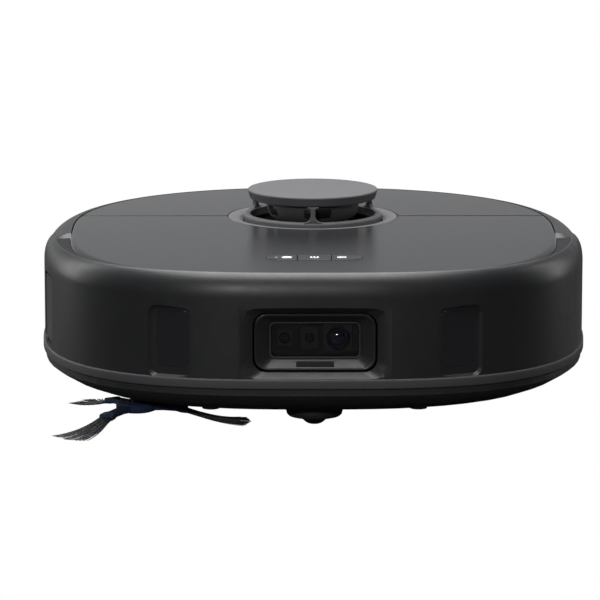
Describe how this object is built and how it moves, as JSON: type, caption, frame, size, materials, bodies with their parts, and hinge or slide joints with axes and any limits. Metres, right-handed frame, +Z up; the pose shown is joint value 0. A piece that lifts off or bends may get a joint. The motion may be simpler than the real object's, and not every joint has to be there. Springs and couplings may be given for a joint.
{
  "type": "robot vacuum",
  "caption": "Round-backed floor-cleaning robot with laser turret, front camera, sprung bumper, drive wheels, roller and side brushes, hinged lid over a dust bin, and twin spinning mops.",
  "frame": {"origin": "on the floor, under the middle of the body", "axes": "+Z up, the front with the camera towards -Y, the robot's left towards +X"},
  "size_m": [0.327, 0.354, 0.1136],
  "materials": {
    "body_shell": "fine-grained moulded black plastic",
    "deck": "satin charcoal lacquer",
    "pan_plastic": "textured black plastic",
    "lip_plastic": "satin black plastic",
    "dark_gloss": "polished black plastic",
    "smoked_window": "dark infra-red window",
    "lens_glass": "tinted glass",
    "turret_plastic": "satin charcoal plastic",
    "tyre_rubber": "treaded black rubber",
    "hub_plastic": "grey moulded plastic",
    "gearbox_plastic": "glass-filled plastic",
    "navy_rubber": "matte navy rubber",
    "bristle": "nylon bristle",
    "mop_cloth": "looped microfibre",
    "plate_plastic": "grey moulded plastic",
    "bin_plastic": "smoked clear plastic",
    "filter_paper": "pleated filter paper",
    "steel": "zinc-plated steel",
    "contact_metal": "plated contact metal",
    "board_green": "soldered circuit board",
    "battery_wrap": "shrink-wrapped cells",
    "tank_plastic": "tinted clear plastic",
    "belt_rubber": "moulded rubber"
  },
  "bodies": {
    "chassis": {"chassis_pan": "pan_plastic", "side_shell": "body_shell", "inner_tray": "pan_plastic", "rear_cover": "deck", "turret_trim": "turret_plastic", "key_board": "board_green", "bumper_switches": "gearbox_plastic", "camera_frame": "dark_gloss", "camera_glass": "lens_glass", "camera_sensors": "dark_gloss", "lidar_base": "pan_plastic", "lidar_motor": "steel", "lidar_belt": "belt_rubber", "blower_housing": "gearbox_plastic", "exhaust_grille": "pan_plastic", "main_board": "board_green", "battery_pack": "battery_wrap", "battery_cover": "pan_plastic", "speaker": "gearbox_plastic", "water_tank": "tank_plastic", "brush_guard": "pan_plastic", "brush_motor": "gearbox_plastic", "side_brush_motor": "gearbox_plastic", "caster_housing": "pan_plastic", "arm_springs": "steel", "cliff_sensors": "smoked_window", "charging_contacts": "contact_metal", "case_screws": "steel"},
    "bumper": {"bumper_shell": "body_shell", "bumper_strip": "lip_plastic", "bumper_windows": "smoked_window"},
    "lid": {"front_lid": "deck"},
    "dust_bin": {"dust_bin": "bin_plastic", "bin_filter": "filter_paper"},
    "dock_key": {"dock_key": "turret_plastic"},
    "power_key": {"power_key": "turret_plastic"},
    "spot_key": {"spot_key": "turret_plastic"},
    "turret_guard": {"guard_ring": "dark_gloss", "guard_cap": "turret_plastic"},
    "laser_head": {"lidar_head": "turret_plastic", "lidar_windows": "smoked_window"},
    "motor_pulley": {"lidar_pulley": "steel"},
    "left_arm": {"left_drive_arm": "gearbox_plastic"},
    "right_arm": {"right_drive_arm": "gearbox_plastic"},
    "left_wheel": {"left_wheel_hub": "hub_plastic", "left_tyre": "tyre_rubber"},
    "right_wheel": {"right_wheel_hub": "hub_plastic", "right_tyre": "tyre_rubber"},
    "caster_swivel": {"caster_fork": "pan_plastic"},
    "caster_roller": {"caster_wheel": "tyre_rubber"},
    "side_brush": {"side_brush_hub": "navy_rubber", "side_brush_bristles": "bristle"},
    "roller_brush": {"roller_core": "navy_rubber", "roller_fins": "navy_rubber"},
    "mop_lift": {"mop_carriage": "gearbox_plastic"},
    "left_mop": {"left_mop_plate": "plate_plastic", "left_mop_pad": "mop_cloth"},
    "right_mop": {"right_mop_plate": "plate_plastic", "right_mop_pad": "mop_cloth"},
    "fan": {"impeller": "hub_plastic"}
  },
  "joints": [
    {"name": "bumper_press", "type": "slide", "parent": "chassis", "child": "bumper", "axis": [0, 1, 0], "range_m": [0, 0.0025], "stiffness_N_per_m": 900},
    {"name": "lid_hinge", "type": "hinge", "parent": "chassis", "child": "lid", "pos_m": [0, 0.0447, 0.0945], "axis": [-1, 0, 0], "range_deg": [0, 75]},
    {"name": "dust_bin_lift", "type": "slide", "parent": "chassis", "child": "dust_bin", "axis": [0, 0, 1], "range_m": [0, 0.045]},
    {"name": "dock_key_press", "type": "slide", "parent": "chassis", "child": "dock_key", "axis": [0, 0, -1], "range_m": [0, 0.0006], "stiffness_N_per_m": 600},
    {"name": "power_key_press", "type": "slide", "parent": "chassis", "child": "power_key", "axis": [0, 0, -1], "range_m": [0, 0.0006], "stiffness_N_per_m": 600},
    {"name": "spot_key_press", "type": "slide", "parent": "chassis", "child": "spot_key", "axis": [0, 0, -1], "range_m": [0, 0.0006], "stiffness_N_per_m": 600},
    {"name": "turret_guard_press", "type": "slide", "parent": "chassis", "child": "turret_guard", "axis": [0, 0, -1], "range_m": [0, 0.0012], "stiffness_N_per_m": 1500},
    {"name": "laser_head_spin", "type": "hinge", "parent": "chassis", "child": "laser_head", "pos_m": [0, 0.0458, 0.086], "axis": [0, 0, 1], "continuous": true},
    {"name": "motor_pulley_spin", "type": "hinge", "parent": "chassis", "child": "motor_pulley", "pos_m": [0.052, 0.0098, 0.086], "axis": [0, 0, 1], "continuous": true},
    {"name": "left_arm_drop", "type": "hinge", "parent": "chassis", "child": "left_arm", "pos_m": [0.107, 0.033, 0.038], "axis": [1, 0, 0], "range_deg": [0, 32]},
    {"name": "left_wheel_spin", "type": "hinge", "parent": "left_arm", "child": "left_wheel", "pos_m": [0.107, 0, 0.035], "axis": [1, 0, 0], "continuous": true},
    {"name": "right_arm_drop", "type": "hinge", "parent": "chassis", "child": "right_arm", "pos_m": [-0.107, 0.033, 0.038], "axis": [1, 0, 0], "range_deg": [0, 32]},
    {"name": "right_wheel_spin", "type": "hinge", "parent": "right_arm", "child": "right_wheel", "pos_m": [-0.107, 0, 0.035], "axis": [1, 0, 0], "continuous": true},
    {"name": "caster_swivel_turn", "type": "hinge", "parent": "chassis", "child": "caster_swivel", "pos_m": [0, -0.123, 0.01], "axis": [0, 0, 1], "continuous": true},
    {"name": "caster_roll", "type": "hinge", "parent": "caster_swivel", "child": "caster_roller", "pos_m": [0, -0.121, 0.01], "axis": [1, 0, 0], "continuous": true},
    {"name": "side_brush_spin", "type": "hinge", "parent": "chassis", "child": "side_brush", "pos_m": [-0.104, -0.114, 0.01], "axis": [0, 0, 1], "continuous": true},
    {"name": "roller_brush_spin", "type": "hinge", "parent": "chassis", "child": "roller_brush", "pos_m": [0, -0.062, 0.0225], "axis": [1, 0, 0], "continuous": true},
    {"name": "mop_raise", "type": "slide", "parent": "chassis", "child": "mop_lift", "axis": [0, 0, 1], "range_m": [0, 0.01]},
    {"name": "left_mop_spin", "type": "hinge", "parent": "mop_lift", "child": "left_mop", "pos_m": [0.058, 0.092, 0.005], "axis": [0, 0, 1], "continuous": true},
    {"name": "right_mop_spin", "type": "hinge", "parent": "mop_lift", "child": "right_mop", "pos_m": [-0.058, 0.092, 0.005], "axis": [0, 0, 1], "continuous": true},
    {"name": "fan_spin", "type": "hinge", "parent": "chassis", "child": "fan", "pos_m": [0, 0.032, 0.0295], "axis": [0, 0, 1], "continuous": true}
  ],
  "couplings": [
    {"joint": "dust_bin_lift", "follows": "lid_hinge", "m_per_rad": 0.03437},
    {"joint": "motor_pulley_spin", "follows": "laser_head_spin", "ratio": 6.5},
    {"joint": "right_mop_spin", "follows": "left_mop_spin", "ratio": -1}
  ]
}
